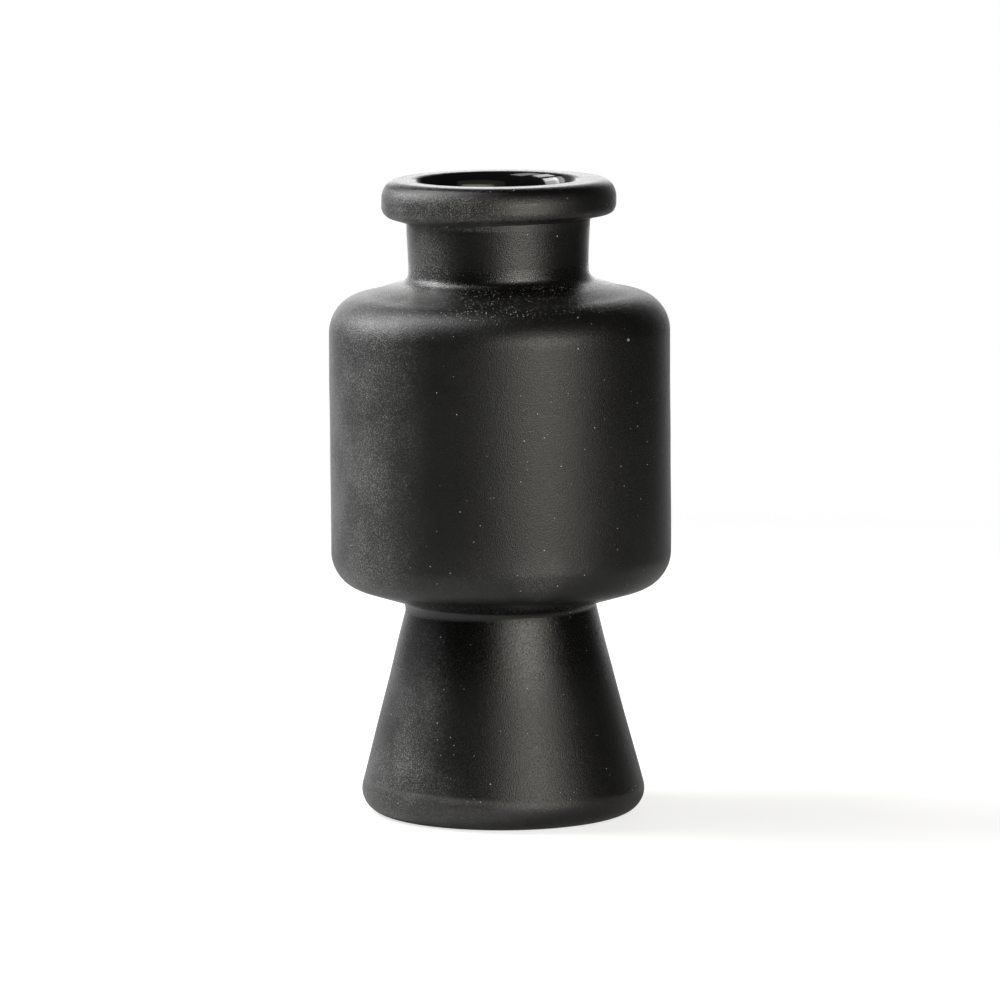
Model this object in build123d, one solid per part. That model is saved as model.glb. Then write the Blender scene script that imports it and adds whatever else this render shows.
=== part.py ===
from build123d import *
import math
import os

# A footed glass vessel that stands on the table at Z = 0, with its axis on Z.
# Its pieces are stacked from the table up: foot with base disc, merese, bowl, neck with lip ring.
# Lengths are in millimetres and angles in degrees.

# Foot: a hollow cone, closed at the top, that turns in below to a standing ring.
FOOT_HEIGHT = 77.8
FOOT_TOP_RADIUS = 36.0
FOOT_FLARE = 14.7  # of the cone's side, from the vertical
FOOT_WALL = 4.5
FOOT_CROWN = 6.0  # thickness of the closed top
HEEL_ROUND = 10.5
STANDING_RING_WIDTH = 6.0

# Base disc: closes the foot from below and is domed upward.
BASE_DISC_THICKNESS = 4.0
BASE_DISC_RECESS = 0.8  # of the disc's edge, above the table
BASE_DISC_DOME = 3.5  # rise from the disc's edge to its centre

# Merese: the wafer of glass between foot and bowl.
MERESE_THICKNESS = 3.4

# Bowl: a blown cylinder with a sloping underside and a sloping shoulder.
BOWL_RADIUS = 65.0
BOWL_HEIGHT = 123.4  # from its underside to the top of its throat
BOWL_WALL = 4.0
BOWL_FLOOR = 6.0
UNDERSIDE_SLOPE = 17.1  # from the horizontal
LOWER_CORNER_ROUND = 14.1
SHOULDER_SLOPE = 9.0  # from the horizontal
UPPER_CORNER_ROUND = 14.5
THROAT_RISE = 3.6  # from the top of the shoulder's slope to the top of the throat
THROAT_FILLET = 2.75
THROAT_INNER_ROUND = 2.0

# Neck: a tube with a straight bore that flares at the mouth, slightly waisted outside.
BORE_RADIUS = 29.6
NECK_RADIUS = 34.5
NECK_HEIGHT = 37.2
NECK_WAIST = 0.2  # how far the outside draws in, halfway up to the lip ring
MOUTH_FLARE_WIDTH = 3.0  # from the bore out to the level rim
MOUTH_FLARE_DEPTH = 9.0  # from the rim down to the bore

# Lip ring: wrapped round the top of the neck, level with its rim.
LIP_RADIUS = 44.5
LIP_HEIGHT = 16.7
LIP_UPPER_ROUND = 7.3
LIP_LOWER_ROUND = 5.0
LIP_UNDERSIDE_SLOPE = 22.0  # from the horizontal


def sin(angle):
    return math.sin(math.radians(angle))


def cos(angle):
    return math.cos(math.radians(angle))


def tan(angle):
    return math.tan(math.radians(angle))


# Seats: the height at which each piece stands on the one below it.
BOWL_SEAT = FOOT_HEIGHT + MERESE_THICKNESS
NECK_SEAT = BOWL_SEAT + BOWL_HEIGHT
RIM = NECK_SEAT + NECK_HEIGHT
LIP_SEAT = RIM - LIP_HEIGHT

# The cone's side would meet the table at this radius. Its heel, rounded there, touches the
# table further in, and the base disc fills what the standing ring leaves open.
TABLE_RADIUS = FOOT_TOP_RADIUS + FOOT_HEIGHT * tan(FOOT_FLARE)
STANDING_RADIUS = TABLE_RADIUS - HEEL_ROUND / tan((90 - FOOT_FLARE) / 2)
BASE_DISC_RADIUS = STANDING_RADIUS - STANDING_RING_WIDTH

# The merese's hollow edge is one arc, tangent to the cone's side and to the bowl's underside.
# Those two lines cross at equal distances, edge_reach, from the ends of the arc.
edge_reach = MERESE_THICKNESS / (sin(UNDERSIDE_SLOPE) + cos(FOOT_FLARE))
BOWL_SEAT_RADIUS = FOOT_TOP_RADIUS + edge_reach * (cos(UNDERSIDE_SLOPE) - sin(FOOT_FLARE))


def outline(*corners):
    """A closed outline of straight lines; each corner is (radius, height, rounding)."""
    points = [(radius, height) for radius, height, rounding in corners]
    roundings = [rounding for radius, height, rounding in corners]
    return FilletPolyline(*points, radius=roundings, close=True)


def turned(profile):
    """The solid that a closed profile in (radius, height) sweeps round the vessel's axis."""
    return revolve(Plane.XZ * make_face(profile), Axis.Z)


def make_foot():
    side_inset = FOOT_WALL / cos(FOOT_FLARE)
    crown_underside = FOOT_HEIGHT - FOOT_CROWN
    inner_round = HEEL_ROUND - FOOT_WALL

    def inner_radius(height):
        return TABLE_RADIUS - height * tan(FOOT_FLARE) - side_inset

    cone = turned(
        outline(
            (0, 0, 0),
            (TABLE_RADIUS, 0, HEEL_ROUND),
            (FOOT_TOP_RADIUS, FOOT_HEIGHT, 0),
            (0, FOOT_HEIGHT, 0),
        )
    )
    hollow = turned(
        outline(
            (0, FOOT_WALL, 0),
            (inner_radius(FOOT_WALL), FOOT_WALL, inner_round),
            (inner_radius(crown_underside), crown_underside, inner_round),
            (0, crown_underside, 0),
        )
    )
    disc_opening = turned(
        outline(
            (0, 0, 0),
            (BASE_DISC_RADIUS, 0, 0),
            (BASE_DISC_RADIUS, FOOT_WALL, 0),
            (0, FOOT_WALL, 0),
        )
    )
    return cone - hollow - disc_opening


def make_base_disc():
    level = (1, 0)

    def domed_line(edge_height):
        centre = (0, edge_height + BASE_DISC_DOME)
        return TangentArc(centre, (BASE_DISC_RADIUS, edge_height), tangent=level)

    underside = domed_line(BASE_DISC_RECESS)
    topside = domed_line(BASE_DISC_RECESS + BASE_DISC_THICKNESS)
    edge = Line(underside @ 1, topside @ 1)
    centre_line = Line(underside @ 0, topside @ 0)
    return turned(underside + edge + topside + centre_line)


def make_merese():
    lower_rim = (FOOT_TOP_RADIUS, FOOT_HEIGHT)
    upper_rim = (BOWL_SEAT_RADIUS, BOWL_SEAT)
    up_the_cone = (-sin(FOOT_FLARE), cos(FOOT_FLARE))
    hollow_edge = TangentArc(lower_rim, upper_rim, tangent=up_the_cone)
    faces = Polyline(upper_rim, (0, BOWL_SEAT), (0, FOOT_HEIGHT), lower_rim)
    return turned(hollow_edge + faces)


def make_bowl():
    shoulder_top = NECK_SEAT - THROAT_RISE
    floor_top = BOWL_SEAT + BOWL_FLOOR
    inner_radius = BOWL_RADIUS - BOWL_WALL
    underside_inset = BOWL_WALL / cos(UNDERSIDE_SLOPE)
    shoulder_inset = BOWL_WALL / cos(SHOULDER_SLOPE)
    floor_radius = BOWL_SEAT_RADIUS + (BOWL_FLOOR - underside_inset) / tan(UNDERSIDE_SLOPE)

    def underside(radius):
        return BOWL_SEAT + (radius - BOWL_SEAT_RADIUS) * tan(UNDERSIDE_SLOPE)

    def shoulder(radius):
        return shoulder_top - (radius - NECK_RADIUS) * tan(SHOULDER_SLOPE)

    outside = turned(
        outline(
            (0, BOWL_SEAT, 0),
            (BOWL_SEAT_RADIUS, BOWL_SEAT, 0),
            (BOWL_RADIUS, underside(BOWL_RADIUS), LOWER_CORNER_ROUND),
            (BOWL_RADIUS, shoulder(BOWL_RADIUS), UPPER_CORNER_ROUND),
            (NECK_RADIUS, shoulder_top, THROAT_FILLET),
            (NECK_RADIUS, NECK_SEAT, 0),
            (0, NECK_SEAT, 0),
        )
    )
    cavity = turned(
        outline(
            (0, floor_top, 0),
            (floor_radius, floor_top, 0),
            (
                inner_radius,
                underside(inner_radius) + underside_inset,
                LOWER_CORNER_ROUND - BOWL_WALL,
            ),
            (
                inner_radius,
                shoulder(inner_radius) - shoulder_inset,
                UPPER_CORNER_ROUND - BOWL_WALL,
            ),
            (BORE_RADIUS, shoulder(BORE_RADIUS) - shoulder_inset, THROAT_INNER_ROUND),
            (BORE_RADIUS, NECK_SEAT, 0),
            (0, NECK_SEAT, 0),
        )
    )
    return outside - cavity


def make_neck():
    bottom = (NECK_RADIUS, NECK_SEAT)
    under_lip = (NECK_RADIUS, LIP_SEAT)
    waist = (NECK_RADIUS - NECK_WAIST, (NECK_SEAT + LIP_SEAT) / 2)
    outside = ThreePointArc(bottom, waist, under_lip)

    # A quarter ellipse, upright where it leaves the bore and level where it meets the rim.
    flare_centre = (BORE_RADIUS + MOUTH_FLARE_WIDTH, RIM - MOUTH_FLARE_DEPTH)
    flare = EllipticalCenterArc(
        flare_centre, MOUTH_FLARE_WIDTH, MOUTH_FLARE_DEPTH, start_angle=90, arc_size=90
    )

    rim = Polyline(under_lip, (NECK_RADIUS, RIM), flare @ 0)
    bore = Polyline(flare @ 1, (BORE_RADIUS, NECK_SEAT), bottom)
    return turned(outside + rim + flare + bore)


def make_lip_ring():
    underside_rise = (LIP_RADIUS - NECK_RADIUS) * tan(LIP_UNDERSIDE_SLOPE)
    return turned(
        outline(
            (NECK_RADIUS, LIP_SEAT, 0),
            (LIP_RADIUS, LIP_SEAT + underside_rise, LIP_LOWER_ROUND),
            (LIP_RADIUS, RIM, LIP_UPPER_ROUND),
            (NECK_RADIUS, RIM, 0),
        )
    )


pieces = {
    "foot": make_foot(),
    "base_disc": make_base_disc(),
    "merese": make_merese(),
    "bowl": make_bowl(),
    "neck": make_neck(),
    "lip_ring": make_lip_ring(),
}

os.makedirs("parts", exist_ok=True)
for name, piece in pieces.items():
    export_step(piece, f"parts/{name}.step")
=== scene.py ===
import functools
import math

import bpy
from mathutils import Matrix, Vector, noise


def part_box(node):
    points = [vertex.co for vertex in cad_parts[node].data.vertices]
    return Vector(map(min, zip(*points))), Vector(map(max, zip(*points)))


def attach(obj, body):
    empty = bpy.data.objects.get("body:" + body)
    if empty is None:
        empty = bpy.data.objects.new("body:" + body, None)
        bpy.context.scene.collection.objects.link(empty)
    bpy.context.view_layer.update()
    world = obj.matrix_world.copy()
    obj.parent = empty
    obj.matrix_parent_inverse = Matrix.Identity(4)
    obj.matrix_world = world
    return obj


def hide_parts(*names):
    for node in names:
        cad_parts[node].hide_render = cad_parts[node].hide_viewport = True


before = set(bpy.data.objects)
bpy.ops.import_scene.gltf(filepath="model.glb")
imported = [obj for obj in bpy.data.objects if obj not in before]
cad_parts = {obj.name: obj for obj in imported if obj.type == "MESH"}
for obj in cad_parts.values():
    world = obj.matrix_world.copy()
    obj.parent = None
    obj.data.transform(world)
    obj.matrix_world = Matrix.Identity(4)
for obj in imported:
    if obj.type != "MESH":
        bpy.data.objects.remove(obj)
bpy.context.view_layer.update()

MM = 0.001
SAME_POINT = 1e-6  # two points nearer than this, in millimetres, are one

# ---------------------------------------------------------------- sizes
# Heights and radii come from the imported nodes, in millimetres.


def node_box(node):
    low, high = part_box(node)
    return low / MM, high / MM


def node_heights(node):
    low, high = node_box(node)
    return low.z, high.z


def node_radius(node):
    low, high = node_box(node)
    return (high.x - low.x) / 2


FOOT_TOP = node_heights("foot")[1]
BOWL_SEAT, NECK_SEAT = node_heights("bowl")
LIP_SEAT, RIM = node_heights("lip_ring")
DISC_UNDERSIDE, DISC_TOP = node_heights("base_disc")
BOWL_RADIUS = node_radius("bowl")
NECK_RADIUS = node_radius("neck")
LIP_RADIUS = node_radius("lip_ring")
DISC_RADIUS = node_radius("base_disc")
BOWL_SEAT_RADIUS = node_radius("merese")

# Shapes inside those boxes: slopes in degrees, roundings and walls in millimetres.
FOOT_FLARE = 14.7
FOOT_TOP_RADIUS = 36.0
FOOT_SPREAD = 0.4  # how much wider the cone's top is than its straight side makes it
FOOT_BREAK = 50.0  # the height where that widening starts
FOOT_WALL = 4.5
FOOT_CROWN = 6.0
HEEL_ROUND = 8.6
DISC_DOME = 3.5
MERESE_HOLLOW = 0.55  # depth of the arc in the merese's edge
BOWL_WALL = 4.0
BOWL_FLOOR = 6.0
UNDERSIDE_SLOPE = 17.1
LOWER_ROUND = 14.1
SHOULDER_SLOPE = 9.0
UPPER_ROUND = 14.5
SHOULDER_BREAK = 49.9  # inside this radius the shoulder climbs a little faster
SHOULDER_BREAK_ROUND = 31.0
SHOULDER_LIFT = 2.6  # of the shoulder's top, where it meets the throat
THROAT_RISE = 3.6
THROAT_RADIUS = 34.35
THROAT_FILLET = 4.4
THROAT_INNER_ROUND = 2.0
NECK_SPREAD = 0.5  # how much wider the neck is under the lip ring than above the throat
NECK_SPREAD_START = 0.25  # as a share of the neck's height below the lip ring
NECK_SPREAD_RUN = 0.6
BORE_RADIUS = 28.8
NECK_WAIST = 0.2
FLARE_WIDTH = 3.8
FLARE_DEPTH = 9.0
POLISHED_FLARE = 0.68  # share of the flare's width that is polished like the bore
LIP_UPPER_WIDTH = 5.6  # the upper rounding is a quarter of an ellipse
LIP_UPPER_HEIGHT = 7.3
LIP_LOWER_ROUND = 5.0
LIP_SLOPE = 17.5
BORE_SHIFT = -1.2  # of the mouth to +X, off the middle of the lip ring
BORE_SHIFT_START = 12.0  # height above the neck's seat where the shift begins
BORE_SHIFT_RISE = 10.0  # further height over which it grows
BORE_SHIFT_DEPTH = 1.6  # it is full this far inside the neck's outside


def tan(degrees):
    return math.tan(math.radians(degrees))


def cos(degrees):
    return math.cos(math.radians(degrees))


# ---------------------------------------------------------------- profiles


def shares(steps):
    """From 0 to 1 in equal steps."""
    return [k / steps for k in range(steps + 1)]


def line(start, end, steps):
    """Points in equal steps from start to end, without start itself."""
    (r0, h0), (r1, h1) = start, end
    return [(r0 + (r1 - r0) * t, h0 + (h1 - h0) * t) for t in shares(steps)[1:]]


def rounded(*corners, spacing=1.6, turn=5.0):
    """Points (radius, height) along straight runs between corners (radius, height, rounding)."""
    corners = [(Vector(c[:2]), c[2]) for c in corners]
    points = [corners[0][0]]
    for i in range(1, len(corners) - 1):
        corner, radius = corners[i]
        back = (corners[i - 1][0] - corner).normalized()
        on = (corners[i + 1][0] - corner).normalized()
        if radius == 0:
            points.append(corner)
            continue
        half = back.angle(on) / 2
        reach = radius / math.tan(half)
        centre = corner + (back + on).normalized() * radius / math.sin(half)
        start, end = corner + back * reach - centre, corner + on * reach - centre
        sweep = start.angle(end)
        for t in shares(max(2, math.ceil(math.degrees(sweep) / turn))):
            a, b = math.sin((1 - t) * sweep), math.sin(t * sweep)
            points.append(centre + (start * a + end * b) / math.sin(sweep))
    points.append(corners[-1][0])
    run = [points[0]]
    for point in points[1:]:
        last = run[-1]
        gap = (point - last).length
        if gap > SAME_POINT:
            run += [last.lerp(point, t) for t in shares(math.ceil(gap / spacing))[1:]]
    return [(point.x, point.y) for point in run]


def bulged(start, end, rise, steps):
    """Points of a shallow arc from start to end that stands off its chord by rise."""
    start, end = Vector(start), Vector(end)
    across = Vector((end.y - start.y, start.x - end.x)).normalized()
    points = [start.lerp(end, t) + across * rise * 4 * t * (1 - t) for t in shares(steps)]
    return [(point.x, point.y) for point in points]


# ---------------------------------------------------------------- hand-made irregularity
# The vessel leans a little, and the rings where its pieces join aren't quite level.

# (height, offset of the axis to +X)
LEAN = (
    (0, 1.15), (12, 1.1), (45, 0.7), (76, 0.2), (105, 0.3), (143, 0.0),
    (168, -0.3), (186, -0.33), (206, -0.75), (221, -0.85), (234, -0.6), (243, -0.6),
)
# (height, tilt in degrees that raises the +X side)
TILT = (
    (0, 0.2), (30, 0.0), (45, 0.0), (62, 0.5), (77.8, 1.85), (81, 0.3), (88, 0.15),
    (110, 0.15), (180, 0.15), (188, 0.6), (200, 0.75), (205, 1.3),
    (216, 1.5), (225.5, 1.6), (229, 0.8), (234, 0.8), (238, 0.55), (243, 0.5),
)
# (height, tilt in degrees that raises the -Y side)
TIP = ((0, 0.0), (212, 0.0), (225, 2.1), (229.5, 0.4), (237, 0.0), (243, 0.0))
# (height, rise): the lip ring's underside is a little higher than its true form.
LIFT = ((0, 0.0), (212, 0.0), (225, 0.6), (230, 0.3), (237, 0.0), (243, 0.0))
# (height, how far the surface is inside the true form, so that the lean fits the box)
SLACK = ((0, 0.0), (84, 0.0), (94, 0.33), (190, 0.33), (203, 0.0), (243, 0.0))
RIM_DROP = 0.35  # so that the tilted rim fits too
# Slow and fine waves in the surface: depth, length across and up, and place in the noise.
WOBBLE, WOBBLE_ACROSS, WOBBLE_UP, WOBBLE_PLACE = 0.1, 26, 38, 3
RIPPLE, RIPPLE_ACROSS, RIPPLE_UP, RIPPLE_PLACE = 0.02, 9, 11, 7
CALM_RADIUS = 20  # inside this radius the waves die down, to nothing on the axis


def along(table, height):
    """The table's value at a height, eased from each row to the next."""
    for (h0, v0), (h1, v1) in zip(table, table[1:]):
        if height <= h1:
            t = max(0.0, (height - h0) / (h1 - h0))
            return v0 + (v1 - v0) * t * t * (3 - 2 * t)
    return table[-1][1]


def wave_at(x, y, height, across, up, place):
    return noise.noise(Vector((x / across, y / across, height / up + place)))


def hand_made(radius, height, turn):
    """The point of the real vessel, in millimetres, for a point of the true lathe form."""
    x, y = radius * math.cos(turn), radius * math.sin(turn)
    wave = wave_at(x, y, height, WOBBLE_ACROSS, WOBBLE_UP, WOBBLE_PLACE)
    ripple = wave_at(x, y, height, RIPPLE_ACROSS, RIPPLE_UP, RIPPLE_PLACE)
    inward = WOBBLE * (0.5 + 0.5 * wave) + RIPPLE * ripple + along(SLACK, height)
    scale = 1 - min(1.0, radius / CALM_RADIUS) * inward / max(radius, 1)
    x, y = x * scale, y * scale
    above = height - NECK_SEAT - BORE_SHIFT_START
    if above > 0 and radius < NECK_RADIUS:
        depth = min(1.0, (NECK_RADIUS - radius) / BORE_SHIFT_DEPTH)
        x += BORE_SHIFT * depth * min(1.0, above / BORE_SHIFT_RISE)
    top = max(0.0, height - NECK_SEAT) / (RIM - NECK_SEAT)
    z = height + x * tan(along(TILT, height)) - y * tan(along(TIP, height))
    z += along(LIFT, height) - RIM_DROP * top
    return Vector((x + along(LEAN, height), y, max(z, 0.0)))


# ---------------------------------------------------------------- lathe

TURNS = 256  # points in each ring
SHARP = math.radians(38)  # edges that turn more than this are left sharp


def turned(name, profile, materials, inside=lambda start, end: False, ring=False):
    """A closed lathe mesh; inside(start, end) tells whether a run of the profile is polished."""
    verts, faces, slots, rows = [], [], [], []
    for radius, height in profile:
        if radius < SAME_POINT:
            rows.append([len(verts)])
            verts.append(hand_made(0, height, 0) * MM)
            continue
        row = []
        for k in range(TURNS):
            row.append(len(verts))
            verts.append(hand_made(radius, height, 2 * math.pi * k / TURNS) * MM)
        rows.append(row)
    pairs = list(zip(range(len(rows) - 1), range(1, len(rows))))
    if ring:
        pairs.append((len(rows) - 1, 0))
    for i, j in pairs:
        a, b = rows[i], rows[j]
        slot = int(inside(profile[i], profile[j]))
        for k in range(TURNS):
            n = (k + 1) % TURNS
            if len(a) == 1:
                faces.append((a[0], b[n], b[k]))
            elif len(b) == 1:
                faces.append((a[k], a[n], b[0]))
            else:
                faces.append((a[k], a[n], b[n], b[k]))
            slots.append(slot)
    mesh = bpy.data.meshes.new(name)
    mesh.from_pydata(verts, [], faces)
    mesh.update()
    for material in materials:
        mesh.materials.append(material)
    mesh.polygons.foreach_set("material_index", slots)
    mesh.shade_smooth()
    mesh.set_sharp_from_angle(angle=SHARP)
    piece = bpy.data.objects.new(name, mesh)
    bpy.context.scene.collection.objects.link(piece)
    return piece


# ---------------------------------------------------------------- materials


GLASS_IOR = 1.5
SPECK_EDGE = 18.0  # how sharply a grain of dust ends
FAINTEST_SPECK = 0.12
ON_AXIS = 0.001  # a least distance from the axis, in metres, to divide by


class Nodes:
    """Adds shader nodes to one tree and links them by name."""

    def __init__(self, tree):
        self.tree = tree
        self.tree.nodes.clear()

    def add(self, kind, inputs=None, **settings):
        node = self.tree.nodes.new(kind)
        for key, value in settings.items():
            setattr(node, key, value)
        for key, value in (inputs or {}).items():
            self.put(node.inputs[key], value)
        return node

    def put(self, socket, value):
        if isinstance(value, bpy.types.NodeSocket):
            self.tree.links.new(value, socket)
        else:
            socket.default_value = value

    def math(self, operation, *values, clamp=False):
        inputs = dict(enumerate(values))
        return self.add("ShaderNodeMath", inputs, operation=operation, use_clamp=clamp).outputs[0]

    def total(self, *values):
        return functools.reduce(lambda a, b: self.math("ADD", a, b), values)

    def product(self, *values):
        return functools.reduce(lambda a, b: self.math("MULTIPLY", a, b), values)

    def most(self, *values):
        return functools.reduce(lambda a, b: self.math("MAXIMUM", a, b), values)

    def vector(self, operation, *values):
        inputs = dict(enumerate(values))
        return self.add("ShaderNodeVectorMath", inputs, operation=operation).outputs

    def ramp(self, value, low, high, to_low=0.0, to_high=1.0):
        """Goes from to_low to to_high, eased, while value goes from low to high."""
        inputs = {"Value": value, "From Min": low, "From Max": high}
        inputs.update({"To Min": to_low, "To Max": to_high})
        node = self.add("ShaderNodeMapRange", inputs, interpolation_type="SMOOTHSTEP")
        return node.outputs["Result"]

    def blend(self, share, first, second):
        """The first colour where share is 0 and the second where it is 1."""
        node = self.add("ShaderNodeMix", {0: share, 6: first, 7: second}, data_type="RGBA")
        return node.outputs[2]

    def bump(self, height, distance, strength, normal=None):
        inputs = {"Height": height, "Distance": distance, "Strength": strength}
        if normal is not None:
            inputs["Normal"] = normal
        return self.add("ShaderNodeBump", inputs).outputs[0]

    def glass(self, colour, roughness, normal):
        inputs = {"Base Color": colour, "Roughness": roughness, "IOR": GLASS_IOR, "Normal": normal}
        shader = self.add("ShaderNodeBsdfPrincipled", inputs)
        self.add("ShaderNodeOutputMaterial", {"Surface": shader.outputs[0]})

    def noise(self, where, scale, detail, rough, offset=None):
        if offset is not None:
            moved = self.add("ShaderNodeMapping", {"Vector": where, "Location": offset})
            where = moved.outputs["Vector"]
        node = self.add(
            "ShaderNodeTexNoise",
            {"Vector": where, "Scale": scale, "Detail": detail, "Roughness": rough},
        )
        return node.outputs["Fac"]

    def specks(self, where, scale, low, high, share):
        """1 inside small round grains with radii from low to high; share of the cells has one."""
        cell = self.add(
            "ShaderNodeTexVoronoi", {"Vector": where, "Scale": scale}, feature="F1"
        )
        chance = self.add("ShaderNodeSeparateColor", {"Color": cell.outputs["Color"]}).outputs
        size = self.ramp(chance[1], 0.0, 1.0, low, high)
        inside = self.math("SUBTRACT", size, cell.outputs["Distance"])
        inside = self.math("MULTIPLY", inside, SPECK_EDGE, clamp=True)
        kept = self.math("LESS_THAN", chance[0], share)
        return self.product(inside, kept, self.ramp(chance[2], 0.0, 1.0, FAINTEST_SPECK, 1.0))


def new_material(name):
    material = bpy.data.materials.new(name)
    material.use_nodes = True
    return material, Nodes(material.node_tree)


# Colours, linear
BLACK = (0.0025, 0.0025, 0.0024, 1.0)
# pale etch frost and heel wear; laid on most on the lit -X side, it is partly painted light
FROST_AND_PAINTED_LIGHT = (0.21, 0.21, 0.209, 1.0)
LINT = (0.8, 0.79, 0.75, 1.0)
POLISHED_BLACK = (0.006, 0.006, 0.0065, 1.0)
POLISHED_DUST = (0.35, 0.35, 0.34, 1.0)

# How far a grain of dust covers the glass, and what each layer does to the roughness
DUST_COVER = 0.85
POLISHED_DUST_COVER = 0.5
GRAIN_ROUGHER = 0.08
DUST_ROUGHER = 0.3
RUBBED_SMOOTHER = 0.17

# Heights in metres between which a layer of the etched glass comes or goes
HEEL_LINE = (0.0095, 0.0115)
HEEL_TOP = (0.0115, 0.0135)
LOW_BLOOM_TOP = (0.012, 0.03)
CONE_LOW = (0.018, 0.034)
CONE_HIGH = (0.05, 0.068)
CONE_RUBBED = (0.04, 0.07)
COLLAR_TOP = (0.082, 0.09)
BAND_BOTTOM = (0.084, 0.092)
CONE_END = (0.086, 0.092)
BAND_TOP = (0.098, 0.116)
FILLET_BOTTOM = (0.199, 0.203)
FILLET_TOP = (0.208, 0.213)
NECK_BOTTOM = (0.2, 0.206)
NECK_TOP = (0.223, 0.2255)
LIP_BOTTOM = (0.224, 0.2255)
LIP_DUST_TOP = (0.232, 0.237)
BLOOM_TOP = (0.2375, 0.2395)
RIM_FACE = (0.2385, 0.2405)
WAIST = 0.0795
WAIST_REACH = (0.0015, 0.004)  # distance from the waist

# A small patch of etch frost low on the bowl's front, which also paints a highlight on the lower
# rounding: centre, and where it begins and ends to fade
PATCH_AND_SHEEN = (0.014, -0.061, 0.099)
PATCH_AND_SHEEN_REACH = (0.002, 0.015)

# A pale chip and a short upright scratch on the upper bowl: (centre, half size) in metres
MARKS = (
    ((0.0482, -0.0436, 0.1852), (0.0011, 0.0011, 0.0008)),
    ((-0.0244, -0.0602, 0.1877), (0.0003, 0.0008, 0.0013)),
)


class Surface:
    """Where a point lies on the vessel, and the patterns that the etched glass's layers share."""

    def __init__(self, n):
        self.where = n.add("ShaderNodeTexCoord").outputs["Object"]
        normal = n.add("ShaderNodeNewGeometry").outputs["Normal"]
        self.facing_up = n.add("ShaderNodeSeparateXYZ", {"Vector": normal}).outputs["Z"]
        self.x, y, self.z = n.add("ShaderNodeSeparateXYZ", {"Vector": self.where}).outputs
        reach = n.math("SQRT", n.total(n.product(self.x, self.x), n.product(y, y)))
        self.round_to_x = n.math("DIVIDE", self.x, n.most(reach, ON_AXIS))
        self.cloud = n.noise(self.where, 55.0, 4.0, 0.6)
        self.patch = n.noise(self.where, 17.0, 3.0, 0.55, (0.3, 0.1, 0.7))
        self.grain = n.noise(self.where, 2100.0, 1.0, 0.6, (0.1, 0.5, 0.2))
        self.pits = n.noise(self.where, 800.0, 3.0, 0.65, (0.7, 0.2, 0.4))
        self.fine = n.ramp(self.grain, 0.5, 0.64)


def etch_frost_and_painted_light(n, at):
    """Etch frost, with painted light: fine pale grains in soft cloudy patches. It is laid on thick
    round the -X side, where the window lamps fall, so that side is painted lighter, from the heel
    to the lip; it fades up the foot's cone and is thin in a band under the bowl. There is none on
    the rim, and one small patch low on the bowl's front, which also paints a highlight on the
    lower rounding."""
    # painted light: the pale grains are laid on thickest towards -X, where the window lamps fall
    side = n.ramp(at.round_to_x, -0.9, -0.36, 1.0, 0.02)
    cone = n.total(n.ramp(at.z, *CONE_LOW, 0.0, 0.45), n.ramp(at.z, *CONE_HIGH, 0.0, 0.5))
    cone = n.product(cone, n.ramp(at.z, *CONE_END, 1.0, 0.0))
    side = n.product(side, n.math("SUBTRACT", 1.0, cone))
    low = n.ramp(at.z, *LOW_BLOOM_TOP, 1.0, 0.0)
    low = n.product(low, n.ramp(at.round_to_x, -0.85, -0.1, 0.7, 0.0))
    lip = n.product(n.ramp(at.z, *LIP_BOTTOM), n.ramp(at.round_to_x, -0.75, 0.6, 0.8, 0.05))
    side = n.product(n.most(side, low, lip), n.ramp(at.z, *BLOOM_TOP, 1.0, 0.0))

    away = n.vector("DISTANCE", at.where, PATCH_AND_SHEEN)["Value"]
    # painted highlight: besides pale grains, this patch paints light where the lower rounding
    # catches it
    spot_and_sheen = n.ramp(away, *PATCH_AND_SHEEN_REACH, 0.3, 0.0)
    band = n.product(n.ramp(at.z, *BAND_TOP, 1.0, 0.0), n.ramp(at.z, *BAND_BOTTOM))
    band = n.product(band, n.ramp(at.round_to_x, -0.3, 0.6, 0.09, 0.03))

    blotch = n.product(n.ramp(at.cloud, 0.36, 0.64), n.ramp(at.patch, 0.35, 0.65, 0.4, 1.0))
    pale = n.product(n.total(0.22, at.fine), n.total(0.6, blotch))
    return n.math("MULTIPLY", pale, n.most(side, spot_and_sheen, band), clamp=True)


def heel_wear_and_painted_light(n, at):
    """Heel band, paler all round and most on the -X side, up to where the cone begins: partly
    scuffed wear, partly painted light on the heel, lighter where the window lamps fall.
    """
    uneven = n.product(n.math("SUBTRACT", at.cloud, 0.5), 0.003)
    edge = n.total(at.z, n.product(at.x, 0.03), uneven)
    line_below_edge = n.product(n.ramp(edge, *HEEL_LINE), 0.25)
    wear_and_painted_light = n.total(n.ramp(at.cloud, 0.3, 0.7, 0.3, 0.6), n.product(at.fine, 0.4), line_below_edge)
    # painted light: paler on the -X side, where the window lamps fall
    side = n.ramp(at.round_to_x, -0.75, 0.4, 0.5, 0.08)
    return n.product(wear_and_painted_light, n.ramp(edge, *HEEL_TOP, 1.0, 0.0), side)


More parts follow.
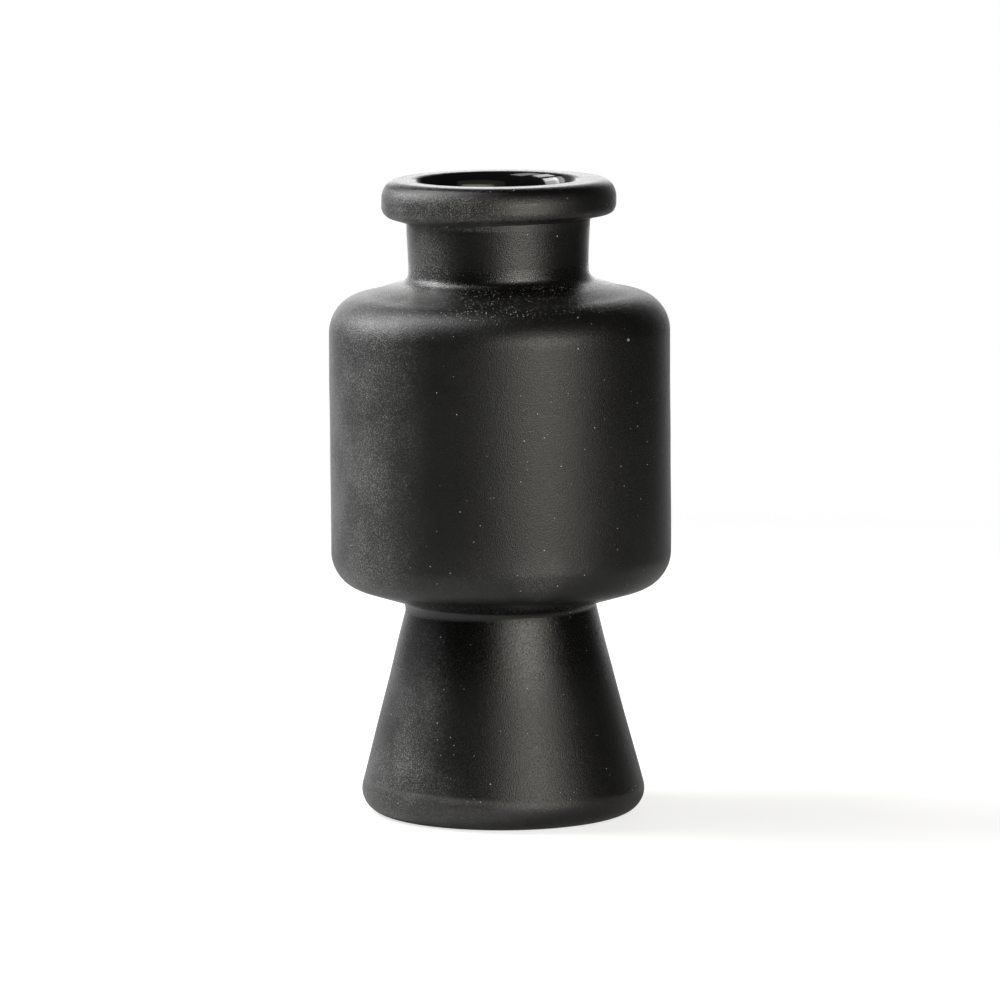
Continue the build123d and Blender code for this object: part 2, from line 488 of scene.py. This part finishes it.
def dust(n, at):
    """Sparse pale grains, thicker where the surface looks up but faint on the lip's top, and
    the two marks."""
    drift = n.ramp(n.noise(at.where, 28.0, 1.0, 0.5, (0.2, 0.6, 0.1)), 0.3, 0.6, 0.6, 1.0)
    rare = n.specks(at.where, 130.0, 0.03, 0.055, 0.015)
    small = n.specks(at.where, 800.0, 0.09, 0.21, 0.07)
    settled = n.specks(at.where, 1450.0, 0.13, 0.37, 0.5)
    settled = n.product(settled, n.ramp(at.facing_up, 0.6, 0.97), drift)
    settled = n.product(settled, n.ramp(at.z, *LIP_DUST_TOP, 1.0, 0.1))
    pale = n.most(rare, small, settled)
    for centre, size in MARKS:
        away = n.vector("DIVIDE", n.vector("SUBTRACT", at.where, centre)[0], size)[0]
        pale = n.most(pale, n.ramp(n.vector("LENGTH", away)["Value"], 0.6, 1.1, 0.5, 0.0))
    return pale


def rubbed_smooth(n, at):
    """Rubbed smoother: the rim's face, the waist, the cone's top up to the bowl, the neck, and
    the fillet where the neck meets the shoulder."""
    rim = n.product(n.ramp(at.z, *RIM_FACE), n.ramp(at.facing_up, 0.5, 0.9))
    from_waist = n.math("ABSOLUTE", n.math("SUBTRACT", at.z, WAIST))
    waist = n.ramp(from_waist, *WAIST_REACH, 1.0, 0.0)
    collar = n.product(n.ramp(at.z, *CONE_RUBBED), n.ramp(at.z, *COLLAR_TOP, 0.9, 0.0))
    neck = n.product(n.ramp(at.z, *NECK_BOTTOM, 0.0, 0.35), n.ramp(at.z, *NECK_TOP, 1.0, 0.0))
    fillet = n.ramp(at.z, *FILLET_BOTTOM, 0.0, 0.85)
    fillet = n.product(fillet, n.ramp(at.z, *FILLET_TOP, 1.0, 0.0))
    return n.most(rim, waist, collar, neck, fillet)


def etched_glass():
    material, n = new_material("etched_black_glass")
    at = Surface(n)
    specks = dust(n, at)
    # pale etch frost and heel wear, with painted light on the -X side, on the heel and in a patch
    # on the lower bowl
    colour = n.blend(n.most(etch_frost_and_painted_light(n, at), heel_wear_and_painted_light(n, at)), BLACK, FROST_AND_PAINTED_LIGHT)
    colour = n.blend(n.product(specks, DUST_COVER), colour, LINT)
    rough = n.total(n.ramp(at.patch, 0.3, 0.7, 0.34, 0.38), n.product(at.fine, GRAIN_ROUGHER))
    rough = n.math("SUBTRACT", rough, n.product(rubbed_smooth(n, at), RUBBED_SMOOTHER))
    rough = n.total(rough, n.product(specks, DUST_ROUGHER))
    relief = n.bump(at.grain, distance=0.00018, strength=0.8)
    relief = n.bump(at.pits, distance=0.0001, strength=0.3, normal=relief)
    n.glass(colour, rough, relief)
    return material


def polished_glass():
    material, n = new_material("fire_polished_black_glass")
    where = n.add("ShaderNodeTexCoord").outputs["Object"]
    swirl = n.noise(where, 60.0, 2.0, 0.5)
    smear = n.noise(where, 140.0, 4.0, 0.6, (0.2, 0.9, 0.4))
    specks = n.specks(where, 260.0, 0.06, 0.2, 0.1)
    colour = n.blend(n.product(specks, POLISHED_DUST_COVER), POLISHED_BLACK, POLISHED_DUST)
    relief = n.bump(swirl, distance=0.0004, strength=0.25)
    n.glass(colour, n.ramp(smear, 0.4, 0.8, 0.08, 0.15), relief)
    return material


etched = etched_glass()
polished = polished_glass()


# ---------------------------------------------------------------- pieces


# Steps along the curves, and distances in millimetres at the bowl's seam with the neck
DOME_STEPS = 24
MERESE_STEPS = 12
NECK_STEPS = 48
FLARE_STEPS = 24
BORE_STEPS = 12
LIP_SEAT_STEPS = 8
LIP_STEPS = 28
RIM_STEPS = 4
SEAM_MARGIN = 0.1  # the outside's last point stays this far below the seam
AT_SEAM = 1e-3


def foot_profile():
    top = FOOT_TOP
    table_radius = FOOT_TOP_RADIUS + top * tan(FOOT_FLARE)
    inset = FOOT_WALL / cos(FOOT_FLARE)
    crown = top - FOOT_CROWN
    inner = HEEL_ROUND - FOOT_WALL

    def inner_radius(height):
        return table_radius - height * tan(FOOT_FLARE) - inset

    return rounded(
        (0, crown, 0),
        (inner_radius(crown), crown, inner),
        (inner_radius(FOOT_WALL), FOOT_WALL, inner),
        (DISC_RADIUS, FOOT_WALL, 0),
        (DISC_RADIUS, 0, 0),
        (table_radius, 0, HEEL_ROUND),
        (table_radius - FOOT_BREAK * tan(FOOT_FLARE), FOOT_BREAK, 0),
        (FOOT_TOP_RADIUS + FOOT_SPREAD, top, 0),
        (0, top, 0),
    )


def base_disc_profile():
    thickness = DISC_TOP - DISC_DOME - DISC_UNDERSIDE

    def domed(t, edge_height):
        return DISC_RADIUS * t, edge_height + DISC_DOME * (1 - t * t)

    underside = [domed(t, DISC_UNDERSIDE) for t in shares(DOME_STEPS)]
    topside = [domed(1 - t, DISC_UNDERSIDE + thickness) for t in shares(DOME_STEPS)]
    return underside + topside


def merese_profile():
    lower, upper = (FOOT_TOP_RADIUS + FOOT_SPREAD, FOOT_TOP), (BOWL_SEAT_RADIUS, BOWL_SEAT)
    edge = bulged(lower, upper, -MERESE_HOLLOW, MERESE_STEPS)
    return [(0, FOOT_TOP)] + edge + [(0, BOWL_SEAT)]


def throat_radius(height):
    """The outside radius of the throat's fillet, which runs up on to the foot of the neck."""
    lift = math.degrees(math.atan2(SHOULDER_LIFT, SHOULDER_BREAK - THROAT_RADIUS))
    half = (90 + lift + SHOULDER_SLOPE) / 2
    top = NECK_SEAT - THROAT_RISE + SHOULDER_LIFT + THROAT_FILLET / tan(half)
    fall = max(0.0, top - height)
    return THROAT_RADIUS + THROAT_FILLET - math.sqrt(THROAT_FILLET**2 - fall**2)


def bowl_profile():
    shoulder_top = NECK_SEAT - THROAT_RISE
    floor_top = BOWL_SEAT + BOWL_FLOOR
    inner_radius = BOWL_RADIUS - BOWL_WALL
    underside_inset = BOWL_WALL / cos(UNDERSIDE_SLOPE)
    shoulder_inset = BOWL_WALL / cos(SHOULDER_SLOPE)
    floor_radius = BOWL_SEAT_RADIUS + (BOWL_FLOOR - underside_inset) / tan(UNDERSIDE_SLOPE)

    def underside(radius):
        return BOWL_SEAT + (radius - BOWL_SEAT_RADIUS) * tan(UNDERSIDE_SLOPE)

    def shoulder(radius):
        return shoulder_top - (radius - NECK_RADIUS) * tan(SHOULDER_SLOPE)

    outer = rounded(
        (0, BOWL_SEAT, 0),
        (BOWL_SEAT_RADIUS, BOWL_SEAT, 0),
        (BOWL_RADIUS, underside(BOWL_RADIUS), LOWER_ROUND),
        (BOWL_RADIUS, shoulder(BOWL_RADIUS), UPPER_ROUND),
        (SHOULDER_BREAK, shoulder(SHOULDER_BREAK), SHOULDER_BREAK_ROUND),
        (THROAT_RADIUS, shoulder_top + SHOULDER_LIFT, THROAT_FILLET),
        (THROAT_RADIUS, RIM, 0),
        spacing=1.2,
        turn=4.0,
    )
    outer = [point for point in outer if point[1] < NECK_SEAT - SEAM_MARGIN]
    inner = rounded(
        (throat_radius(NECK_SEAT), NECK_SEAT, 0),
        (BORE_RADIUS, NECK_SEAT, 0),
        (BORE_RADIUS, shoulder(BORE_RADIUS) - shoulder_inset, THROAT_INNER_ROUND),
        (inner_radius, shoulder(inner_radius) - shoulder_inset, UPPER_ROUND - BOWL_WALL),
        (inner_radius, underside(inner_radius) + underside_inset, LOWER_ROUND - BOWL_WALL),
        (floor_radius, floor_top, 0),
        (0, floor_top, 0),
        turn=4.0,
    )
    return outer + inner


def neck_profile():
    outside = []
    for t in shares(NECK_STEPS):
        height = NECK_SEAT + (LIP_SEAT - NECK_SEAT) * t
        spread = NECK_SPREAD * min(1.0, max(0.0, (t - NECK_SPREAD_START) / NECK_SPREAD_RUN))
        radius = throat_radius(height) + spread - NECK_WAIST * 4 * t * (1 - t)
        outside.append((radius, height))
    flare = []
    for t in shares(FLARE_STEPS):
        a = math.radians(90 + 90 * t)
        radius = BORE_RADIUS + FLARE_WIDTH * (1 + math.cos(a))
        flare.append((radius, RIM - FLARE_DEPTH * (1 - math.sin(a))))
    side = line((NECK_RADIUS, LIP_SEAT), (NECK_RADIUS, RIM), LIP_SEAT_STEPS)
    bore = line(flare[-1], (BORE_RADIUS, NECK_SEAT), BORE_STEPS)
    return outside + side + flare + bore


def lip_profile():
    rise = (LIP_RADIUS - NECK_RADIUS) * tan(LIP_SLOPE)
    shoulder_start = RIM - LIP_UPPER_HEIGHT
    under = rounded(
        (NECK_RADIUS, LIP_SEAT, 0),
        (LIP_RADIUS, LIP_SEAT + rise, LIP_LOWER_ROUND),
        (LIP_RADIUS, shoulder_start, 0),
        spacing=1.0,
        turn=4.0,
    )
    upper = []
    for t in shares(LIP_STEPS)[1:]:
        a = math.radians(90 * t)
        radius = LIP_RADIUS - LIP_UPPER_WIDTH * (1 - math.cos(a))
        upper.append((radius, shoulder_start + LIP_UPPER_HEIGHT * math.sin(a)))
    return under + upper + line(upper[-1], (NECK_RADIUS, RIM), RIM_STEPS)


def in_bore(start, end):
    return max(start[0], end[0]) <= BORE_RADIUS + FLARE_WIDTH * POLISHED_FLARE


def in_cavity():
    """Tells when the bowl's profile, which starts up its outside, has reached the neck's seam.
    From there it runs down the polished inside."""
    state = {"past": False}

    def inside(start, end):
        if abs(start[1] - NECK_SEAT) < AT_SEAM:
            state["past"] = True
        return state["past"]

    return inside


both = (etched, polished)
pieces = {
    "foot": turned("foot_cone", foot_profile(), both),
    "base_disc": turned("base_disc_kick", base_disc_profile(), both),
    "merese": turned("merese_wafer", merese_profile(), both),
    "bowl": turned("bowl_blown", bowl_profile(), both, in_cavity()),
    "neck": turned("neck_tube", neck_profile(), both, in_bore, ring=True),
    "lip_ring": turned("lip_ring_wrap", lip_profile(), both, ring=True),
}
for node, piece in pieces.items():
    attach(piece, "root")
    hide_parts(node)


# ---------------------------------------------------------------- floor, world, lamps, camera


FLOOR_TURNS = 96
FLOOR_RADII = (0.02, 0.1, 0.2, 0.35, 0.5, 0.7, 0.9)
FLOOR_FADE = (0.5, 0.88)  # distances from the vessel between which the floor turns clear
FLOOR_GLOW = 0.7
FLOOR_MIRRORED = 0.1  # share of the glow that reflections show
BACKDROP = (0.74, 1.0)  # how far a direction points to +Y where the backdrop begins and is full
BACKDROP_LEVEL = 0.36  # where it lights the object
BACKDROP_MIRRORED = 0.9  # where reflections show it
ROOM_LEVEL = 0.02  # of the light from everywhere


def ray_kinds(n):
    """1 for rays from the camera, and 1 for reflections and rays through glass."""
    ray = n.add("ShaderNodeLightPath").outputs
    mirrored = n.math("ADD", ray["Is Glossy Ray"], ray["Is Transmission Ray"], clamp=True)
    return ray["Is Camera Ray"], mirrored


def make_floor():
    verts, faces = [(0, 0, 0)], []
    for radius in FLOOR_RADII:
        for k in range(FLOOR_TURNS):
            a = 2 * math.pi * k / FLOOR_TURNS
            verts.append((radius * math.cos(a), radius * math.sin(a), 0))
    for k in range(FLOOR_TURNS):
        faces.append((0, 1 + k, 1 + (k + 1) % FLOOR_TURNS))
    for i in range(len(FLOOR_RADII) - 1):
        for k in range(FLOOR_TURNS):
            a, b = 1 + i * FLOOR_TURNS + k, 1 + i * FLOOR_TURNS + (k + 1) % FLOOR_TURNS
            faces.append((a, a + FLOOR_TURNS, b + FLOOR_TURNS, b))
    mesh = bpy.data.meshes.new("floor")
    mesh.from_pydata(verts, [], faces)
    floor = bpy.data.objects.new("floor", mesh)
    bpy.context.scene.collection.objects.link(floor)
    material, n = new_material("white_table")
    where = n.add("ShaderNodeTexCoord").outputs["Object"]
    reach = n.vector("LENGTH", where)["Value"]
    camera, mirrored = ray_kinds(n)
    seen = n.math("ADD", camera, n.product(mirrored, FLOOR_MIRRORED), clamp=True)
    matt = n.add("ShaderNodeBsdfDiffuse", {"Color": (0.6, 0.6, 0.6, 1)})
    glow = {"Color": (1, 1, 1, 1), "Strength": n.product(seen, FLOOR_GLOW)}
    glow = n.add("ShaderNodeEmission", glow)
    table = n.add("ShaderNodeAddShader", {0: matt.outputs[0], 1: glow.outputs[0]})
    clear = n.add("ShaderNodeBsdfTransparent")
    faded = {0: n.ramp(reach, *FLOOR_FADE), 1: table.outputs[0], 2: clear.outputs[0]}
    faded = n.add("ShaderNodeMixShader", faded)
    n.add("ShaderNodeOutputMaterial", {"Surface": faded.outputs[0]})
    mesh.materials.append(material)


def make_world():
    world = bpy.data.worlds.new("studio")
    bpy.context.scene.world = world
    world.use_nodes = True
    n = Nodes(world.node_tree)
    way = n.add("ShaderNodeTexCoord").outputs["Generated"]
    y = n.add("ShaderNodeSeparateXYZ", {"Vector": way}).outputs["Y"]
    camera, mirrored = ray_kinds(n)
    level = n.ramp(mirrored, 0.0, 1.0, BACKDROP_LEVEL, BACKDROP_MIRRORED)
    room = n.total(n.product(n.ramp(y, *BACKDROP), level), ROOM_LEVEL)
    strength = n.add("ShaderNodeMix", {0: camera, 2: room, 3: 1.0}, data_type="FLOAT")
    light = {"Color": (1, 1, 1, 1), "Strength": strength.outputs[0]}
    light = n.add("ShaderNodeBackground", light)
    n.add("ShaderNodeOutputWorld", {"Surface": light.outputs[0]})


def towards(azimuth, elevation):
    """Unit direction. Azimuth 0 is towards -Y, where the camera stands, and 90 towards +X."""
    a, e = math.radians(azimuth), math.radians(elevation)
    return Vector((math.sin(a) * math.cos(e), -math.cos(a) * math.cos(e), math.sin(e)))


def soft_box(name, azimuth, distance, low, high, width, radiance, colour, lean):
    """A lamp from height low to high that faces the vessel's axis. Lean turns its light down."""
    lamp = bpy.data.lights.new(name, "AREA")
    lamp.shape = "RECTANGLE"
    lamp.size, lamp.size_y = width, high - low
    lamp.energy = radiance * math.pi * width * (high - low)
    lamp.color = colour
    box = bpy.data.objects.new(name, lamp)
    box.location = towards(azimuth, 0) * distance + Vector((0, 0, (low + high) / 2))
    box.rotation_euler = towards(azimuth, lean).to_track_quat("Z", "Y").to_euler()
    box.visible_camera = False
    bpy.context.scene.collection.objects.link(box)


WHITE = (1.0, 1.0, 1.0)
WARM = (1.0, 0.97, 0.88)
# Name, azimuth, distance, lowest and highest point, width, radiance, colour and lean
LAMPS = (
    ("window_left_low", -99, 0.8, 0.46, 0.62, 0.44, 6.4, WHITE, 25),
    ("window_left", -99, 0.8, 0.62, 0.78, 0.44, 13.5, WHITE, 25),
    ("window_left_far", -118, 0.8, 0.4, 0.78, 0.3, 3.4, WHITE, 25),
    ("window_left_top", -100, 0.6, 0.8, 1.0, 0.5, 10.5, WHITE, 60),
    ("ceiling_left", -80, 0.35, 0.85, 1.05, 0.5, 4.8, WHITE, 75),
    ("left_low", -100, 0.8, 0.0, 0.3, 0.6, 0.26, WHITE, 0),
    ("front_right", 28, 1.1, 0.0, 0.64, 1.0, 3.3, WARM, 0),
    ("front_right_low", 28, 0.5, 0.0, 0.12, 0.15, 1.8, WARM, 0),
    ("front_right_high", 28, 0.5, 0.24, 0.36, 0.15, 7.6, WARM, 0),
    ("front_right_top", 24, 0.5, 0.36, 0.6, 0.8, 0.28, WARM, 0),
    ("behind", 180, 0.8, 0.1, 0.45, 0.55, 1.2, WHITE, 0),
    ("behind_high", 180, 0.8, 0.45, 0.9, 0.55, 0.8, WHITE, 0),
    ("behind_left", -140, 0.8, 0.0, 0.8, 0.6, 0.3, WHITE, 0),
)

CAMERA_LENS, CAMERA_SENSOR = 270, 36  # in millimetres
CAMERA_TARGET = (-0.00015, 0, 0.11905)
CAMERA_ELEVATION = 7.8  # degrees above level
CAMERA_DISTANCE = 2.848


def make_camera():
    lens = bpy.data.cameras.new("camera")
    lens.lens, lens.sensor_width = CAMERA_LENS, CAMERA_SENSOR
    camera = bpy.data.objects.new("camera", lens)
    way = towards(0, CAMERA_ELEVATION)
    camera.location = Vector(CAMERA_TARGET) + way * CAMERA_DISTANCE
    camera.rotation_euler = way.to_track_quat("Z", "Y").to_euler()
    bpy.context.scene.collection.objects.link(camera)
    bpy.context.scene.camera = camera


make_floor()
make_world()
for lamp in LAMPS:
    soft_box(*lamp)
make_camera()

bpy.context.scene.view_settings.view_transform = "Standard"
